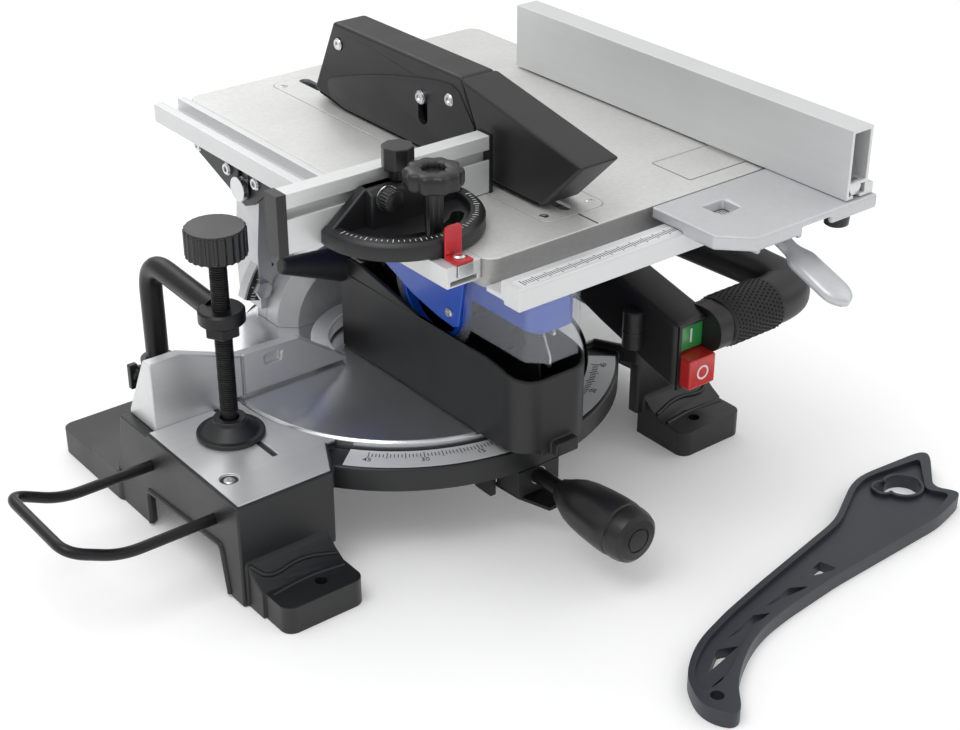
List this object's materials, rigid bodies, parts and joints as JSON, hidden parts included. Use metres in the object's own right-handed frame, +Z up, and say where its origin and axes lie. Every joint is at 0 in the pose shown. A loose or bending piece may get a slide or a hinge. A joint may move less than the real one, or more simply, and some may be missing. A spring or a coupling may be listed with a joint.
{
  "type": "mitre saw",
  "caption": "Bench-top combination mitre saw with a saw table, rip fence, mitre gauge, clamp and push stick.",
  "frame": {"origin": "bench level, at the centre of the four foot bolt holes", "axes": "+Z up, +Y from the handle to the back, +X to the right of a person at the handle"},
  "size_m": [0.6235, 0.5979, 0.329],
  "materials": {
    "black_paint": "satin black paint on cast metal",
    "black_plastic": "fine-grained black moulding",
    "cast_aluminium": "machined casting with a soft grain",
    "extruded_aluminium": "anodised silver",
    "silver_paint": "silver grey paint",
    "zinc_steel": "zinc plated",
    "blade_steel": "ground steel",
    "blue_paint": "gloss blue paint",
    "clear_cover": "smoky clear plastic",
    "red_paint": "red paint",
    "green_plastic": "green button",
    "red_plastic": "red button",
    "grip_rubber": "soft dotted grip",
    "copper_winding": "lacquered copper",
    "stick_plastic": "dark grey plastic"
  },
  "bodies": {
    "base": {"base_casting": "black_paint", "wing_plates": "cast_aluminium", "deck_screw_set": "zinc_steel", "fence": "cast_aluminium", "pivot_bolt": "zinc_steel"},
    "work_support": {"support_bar": "black_paint"},
    "clamp_frame": {"clamp_post": "black_paint"},
    "clamp_lock": {"clamp_wing_screw": "black_paint"},
    "clamp_foot": {"clamp_pad": "black_paint"},
    "clamp_screw": {"clamp_spindle": "black_paint", "clamp_knob": "black_plastic"},
    "table_turn": {"turntable": "cast_aluminium", "kerf_insert": "black_plastic", "blade_trough": "black_plastic", "bevel_support": "cast_aluminium", "bevel_arm": "cast_aluminium", "bevel_bolt": "zinc_steel", "hinge_pin": "zinc_steel", "return_spring": "zinc_steel"},
    "mitre_handle": {"mitre_rod": "black_paint", "mitre_grip": "black_plastic"},
    "detent": {"detent_lever": "black_paint"},
    "bevel_lock": {"bevel_lever": "black_plastic"},
    "head_lock": {"head_lock_pin": "black_plastic"},
    "head": {"blade_housing": "blue_paint", "side_plate": "blue_paint", "motor_housing": "black_plastic", "motor_cap": "black_plastic", "handle_shell": "black_plastic", "handle_grip": "grip_rubber", "dust_spout": "black_plastic", "riving_knife": "blade_steel", "motor_stator": "zinc_steel"},
    "rotor": {"motor_rotor": "copper_winding"},
    "blade": {"saw_blade": "blade_steel", "blade_flanges": "zinc_steel", "arbor": "zinc_steel"},
    "blade_cover": {"lower_guard": "clear_cover"},
    "upper_guard": {"guard_arm": "black_plastic", "guard_hood": "black_plastic", "guard_screws": "zinc_steel"},
    "saw_table": {"table_plate": "cast_aluminium", "table_insert": "cast_aluminium", "slot_rail": "extruded_aluminium", "front_rail": "extruded_aluminium", "table_brackets": "black_paint"},
    "table_lock": {"table_lock_knob": "black_plastic"},
    "rip_fence": {"rip_carriage": "silver_paint", "rip_profile": "extruded_aluminium"},
    "rip_clamp": {"rip_lever": "zinc_steel"},
    "gauge": {"gauge_guide": "zinc_steel", "gauge_pointer": "red_paint"},
    "gauge_turn": {"gauge_head": "black_paint"},
    "gauge_bar": {"gauge_fence": "extruded_aluminium"},
    "gauge_lock": {"gauge_knob": "black_plastic"},
    "gauge_stop": {"gauge_thumb_top": "black_plastic"},
    "gauge_bar_lock": {"gauge_thumb_side": "black_plastic"},
    "start": {"start_button": "green_plastic"},
    "stop": {"stop_button": "red_plastic"},
    "stick": {"push_stick": "stick_plastic"}
  },
  "joints": [
    {"name": "support_slide", "type": "slide", "parent": "base", "child": "work_support", "axis": [1, 0, 0], "range_m": [-0.035, 0.012]},
    {"name": "clamp_height", "type": "slide", "parent": "base", "child": "clamp_frame", "axis": [0, 0, 1], "range_m": [0, 0.03]},
    {"name": "clamp_lock_turn", "type": "hinge", "parent": "base", "child": "clamp_lock", "pos_m": [-0.19, 0.084, 0.09], "axis": [1, 0, 0], "range_deg": [0, 720]},
    {"name": "clamp_foot_lift", "type": "slide", "parent": "clamp_frame", "child": "clamp_foot", "axis": [0, 0, 1], "range_m": [0, 0.0175]},
    {"name": "clamp_screw_turn", "type": "hinge", "parent": "clamp_foot", "child": "clamp_screw", "pos_m": [-0.172, -0.0185, 0.16], "axis": [0, 0, 1], "range_deg": [0, 3610]},
    {"name": "mitre_turn", "type": "hinge", "parent": "base", "child": "table_turn", "pos_m": [0, 0.012, 0.07], "axis": [0, 0, -1], "range_deg": [-45, 45]},
    {"name": "mitre_handle_turn", "type": "hinge", "parent": "table_turn", "child": "mitre_handle", "pos_m": [0, -0.138, 0.046], "axis": [0, 1, 0], "range_deg": [0, 720]},
    {"name": "detent_press", "type": "hinge", "parent": "table_turn", "child": "detent", "pos_m": [0, -0.119, 0.029], "axis": [1, 0, 0], "range_deg": [0, 7], "stiffness_Nm_per_rad": 0.6, "springref_deg": -14.32},
    {"name": "bevel_lock_turn", "type": "hinge", "parent": "table_turn", "child": "bevel_lock", "pos_m": [0, 0.157, 0.0805], "axis": [0, 1, 0], "range_deg": [0, 30]},
    {"name": "head_lock_push", "type": "slide", "parent": "table_turn", "child": "head_lock", "axis": [1, 0, 0], "range_m": [-0.008, 0]},
    {"name": "head_lift", "type": "hinge", "parent": "table_turn", "child": "head", "pos_m": [0, 0.124, 0.194], "axis": [-1, 0, 0], "range_deg": [0, 40]},
    {"name": "blade_spin", "type": "hinge", "parent": "head", "child": "blade", "pos_m": [0, -0.063, 0.168], "axis": [1, 0, 0], "continuous": true},
    {"name": "rotor_spin", "type": "hinge", "parent": "head", "child": "rotor", "pos_m": [0.11, -0.023, 0.1882], "axis": [1, 0, 0], "continuous": true},
    {"name": "blade_cover_turn", "type": "hinge", "parent": "head", "child": "blade_cover", "pos_m": [0, -0.063, 0.168], "axis": [1, 0, 0], "range_deg": [0, 73]},
    {"name": "upper_guard_lift", "type": "hinge", "parent": "head", "child": "upper_guard", "pos_m": [0, 0.0615, 0.314], "axis": [-1, 0, 0], "range_deg": [0, 8]},
    {"name": "table_height", "type": "slide", "parent": "head", "child": "saw_table", "axis": [0, 0, 1], "range_m": [-0.01, 0]},
    {"name": "table_lock_turn", "type": "hinge", "parent": "table_turn", "child": "table_lock", "pos_m": [0.08, 0.124, 0.194], "axis": [1, 0, 0], "range_deg": [0, 360]},
    {"name": "rip_fence_slide", "type": "slide", "parent": "saw_table", "child": "rip_fence", "axis": [1, 0, 0], "range_m": [-0.085, 0.03]},
    {"name": "rip_clamp_lift", "type": "hinge", "parent": "rip_fence", "child": "rip_clamp", "pos_m": [0.118, -0.25, 0.24], "axis": [-1, 0, 0], "range_deg": [0, 20]},
    {"name": "gauge_slide", "type": "slide", "parent": "saw_table", "child": "gauge", "axis": [0, 1, 0], "range_m": [-0.02, 0.12]},
    {"name": "gauge_turn_angle", "type": "hinge", "parent": "gauge", "child": "gauge_turn", "pos_m": [-0.103, -0.134, 0.268], "axis": [0, 0, 1], "range_deg": [-45, 45]},
    {"name": "gauge_bar_slide", "type": "slide", "parent": "gauge_turn", "child": "gauge_bar", "axis": [1, 0, 0], "range_m": [-0.04, 0.002]},
    {"name": "gauge_lock_turn", "type": "hinge", "parent": "gauge", "child": "gauge_lock", "pos_m": [-0.103, -0.171, 0.29], "axis": [0, 0, 1], "range_deg": [0, 720]},
    {"name": "gauge_stop_turn", "type": "hinge", "parent": "gauge_turn", "child": "gauge_stop", "pos_m": [-0.103, -0.134, 0.31], "axis": [0, 0, 1], "range_deg": [0, 720]},
    {"name": "gauge_bar_lock_turn", "type": "hinge", "parent": "gauge_turn", "child": "gauge_bar_lock", "pos_m": [-0.118, -0.146, 0.29], "axis": [0, 1, 0], "range_deg": [0, 720]},
    {"name": "start_press", "type": "slide", "parent": "head", "child": "start", "axis": [0, 1, 0], "range_m": [0, 0.003], "stiffness_N_per_m": 500, "springref_m": -0.002},
    {"name": "stop_press", "type": "slide", "parent": "head", "child": "stop", "axis": [0, 1, 0], "range_m": [0, 0.003], "stiffness_N_per_m": 500, "springref_m": -0.002},
    {"name": "stick_move", "type": "slide", "parent": "base", "child": "stick", "axis": [0, -1, 0], "range_m": [0, 0.1]}
  ],
  "couplings": [
    {"joint": "clamp_screw_turn", "follows": "clamp_foot_lift", "rad_per_m": 3590.4},
    {"joint": "rotor_spin", "follows": "blade_spin", "ratio": -2.7333},
    {"joint": "blade_cover_turn", "follows": "head_lift", "ratio": 1.8}
  ]
}
